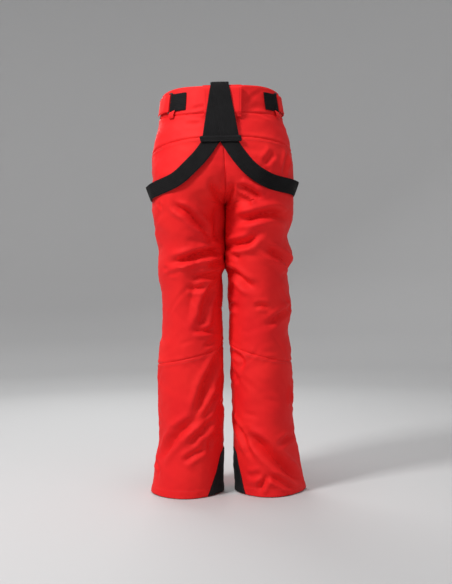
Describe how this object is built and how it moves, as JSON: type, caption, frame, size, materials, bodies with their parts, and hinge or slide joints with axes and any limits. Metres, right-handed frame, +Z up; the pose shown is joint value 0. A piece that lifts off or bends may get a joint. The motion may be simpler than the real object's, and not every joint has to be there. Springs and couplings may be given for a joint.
{
  "type": "ski trousers with braces",
  "caption": "Straight-legged padded ski trousers with a yoke, waist adjusters, zips, snow gaiters, scuff guards and elastic braces hanging down.",
  "frame": {"origin": "middle of the waist opening, level with the waistband's top edge", "axes": "+Z up towards the waist, +X towards the wearer's left, the front faces -Y"},
  "size_m": [0.3988, 0.296, 1.0454],
  "materials": {
    "shell_fabric": "matte plain weave, vivid red",
    "lining": "smooth grey taffeta",
    "gaiter_fabric": "coated grey taffeta",
    "scuff_fabric": "tough black ripstop",
    "elastic_webbing": "ribbed black elastic",
    "webbing": "black woven webbing",
    "zip_tape": "black knitted tape with a nylon coil",
    "dark_metal": "gunmetal",
    "dark_plastic": "moulded black plastic"
  },
  "bodies": {
    "trousers": {"waistband_shell": "shell_fabric", "waistband_facing": "lining", "back_yoke": "shell_fabric", "centre_back_loop": "shell_fabric", "fly_underlap": "shell_fabric", "fly_zip_tape_left": "zip_tape", "fly_zip_tape_right": "zip_tape", "snap_stud_upper": "dark_metal", "snap_stud_lower": "dark_metal", "braces_anchor": "elastic_webbing", "left_back_panel": "shell_fabric", "left_front_panel": "shell_fabric", "left_leg_lining": "lining", "left_knee_panel": "shell_fabric", "left_pocket_zip": "zip_tape", "left_pocket_bag": "lining", "left_adjuster_webbing": "webbing", "left_adjuster_ring": "dark_plastic", "right_back_panel": "shell_fabric", "right_front_panel": "shell_fabric", "right_leg_lining": "lining", "right_knee_panel": "shell_fabric", "right_pocket_zip": "zip_tape", "right_pocket_bag": "lining", "right_adjuster_webbing": "webbing", "right_adjuster_ring": "dark_plastic"},
    "fly_zip_slider": {"fly_zip_slider": "dark_metal"},
    "fly_zip_pull": {"fly_zip_pull": "dark_metal"},
    "waist_tab": {"waist_tab": "shell_fabric", "snap_cap_upper": "dark_metal", "snap_cap_lower": "dark_metal"},
    "braces": {"left_back_strap": "elastic_webbing", "right_back_strap": "elastic_webbing", "braces_crosspiece": "webbing", "left_shoulder_strap": "elastic_webbing", "right_shoulder_strap": "elastic_webbing"},
    "left_adjuster_tab": {"left_adjuster_tab": "shell_fabric"},
    "left_pocket_slider": {"left_pocket_slider": "dark_metal"},
    "left_pocket_pull": {"left_pocket_pull": "dark_metal"},
    "left_strap_adjuster": {"left_strap_adjuster": "dark_plastic"},
    "left_shin": {"left_calf_panel": "shell_fabric", "left_shin_panel": "shell_fabric", "left_shin_lining": "lining", "left_scuff_guard": "scuff_fabric", "left_gaiter": "gaiter_fabric", "left_gaiter_elastic": "elastic_webbing"},
    "right_adjuster_tab": {"right_adjuster_tab": "shell_fabric"},
    "right_pocket_slider": {"right_pocket_slider": "dark_metal"},
    "right_pocket_pull": {"right_pocket_pull": "dark_metal"},
    "right_strap_adjuster": {"right_strap_adjuster": "dark_plastic"},
    "right_shin": {"right_calf_panel": "shell_fabric", "right_shin_panel": "shell_fabric", "right_shin_lining": "lining", "right_scuff_guard": "scuff_fabric", "right_gaiter": "gaiter_fabric", "right_gaiter_elastic": "elastic_webbing"}
  },
  "joints": [
    {"name": "fly_zip_slide", "type": "slide", "parent": "trousers", "child": "fly_zip_slider", "axis": [0, -0.073, -0.9973], "range_m": [0, 0.135]},
    {"name": "fly_pull_swing", "type": "hinge", "parent": "fly_zip_slider", "child": "fly_zip_pull", "pos_m": [0, -0.12666, -0.0711], "axis": [-1, 0, 0], "range_deg": [0, 140]},
    {"name": "waist_tab_swing", "type": "hinge", "parent": "trousers", "child": "waist_tab", "pos_m": [0.036, -0.11647, -0.03], "axis": [0, 0, 1], "range_deg": [0, 80]},
    {"name": "braces_swing", "type": "hinge", "parent": "trousers", "child": "braces", "pos_m": [0, 0.118, 0.0084], "axis": [1, 0, 0], "range_deg": [0, 30], "deforming": ["left_shoulder_strap", "right_shoulder_strap"]},
    {"name": "left_adjuster_peel", "type": "hinge", "parent": "trousers", "child": "left_adjuster_tab", "pos_m": [0.12963, 0.07576, -0.03836], "axis": [-0.1039, -0.1034, 0.9892], "range_deg": [0, 100]},
    {"name": "left_pocket_slide", "type": "slide", "parent": "trousers", "child": "left_pocket_slider", "axis": [0.1683, -0.0032, -0.9857], "range_m": [0, 0.12]},
    {"name": "left_pocket_pull_swing", "type": "hinge", "parent": "left_pocket_slider", "child": "left_pocket_pull", "pos_m": [0.15115, -0.06505, -0.08996], "axis": [-0.5411, -0.8361, -0.0897], "range_deg": [0, 140]},
    {"name": "left_strap_adjuster_slide", "type": "slide", "parent": "trousers", "child": "left_strap_adjuster", "axis": [0.0812, -0.1587, -0.984], "range_m": [-0.03, 0.05]},
    {"name": "left_knee_bend", "type": "hinge", "parent": "trousers", "child": "left_shin", "pos_m": [0.088, -0.005, -0.6], "axis": [1, 0, 0], "range_deg": [0, 75], "deforming": ["left_knee_panel"]},
    {"name": "right_adjuster_peel", "type": "hinge", "parent": "trousers", "child": "right_adjuster_tab", "pos_m": [-0.14866, 0.04871, -0.03836], "axis": [-0.1275, 0.0718, -0.9892], "range_deg": [0, 100]},
    {"name": "right_pocket_slide", "type": "slide", "parent": "trousers", "child": "right_pocket_slider", "axis": [-0.1683, -0.0032, -0.9857], "range_m": [0, 0.12]},
    {"name": "right_pocket_pull_swing", "type": "hinge", "parent": "right_pocket_slider", "child": "right_pocket_pull", "pos_m": [-0.15115, -0.06505, -0.08996], "axis": [-0.5411, 0.8361, 0.0897], "range_deg": [0, 140]},
    {"name": "right_strap_adjuster_slide", "type": "slide", "parent": "trousers", "child": "right_strap_adjuster", "axis": [-0.0812, -0.1587, -0.984], "range_m": [-0.03, 0.05]},
    {"name": "right_knee_bend", "type": "hinge", "parent": "trousers", "child": "right_shin", "pos_m": [-0.088, -0.005, -0.6], "axis": [1, 0, 0], "range_deg": [0, 75], "deforming": ["right_knee_panel"]}
  ]
}
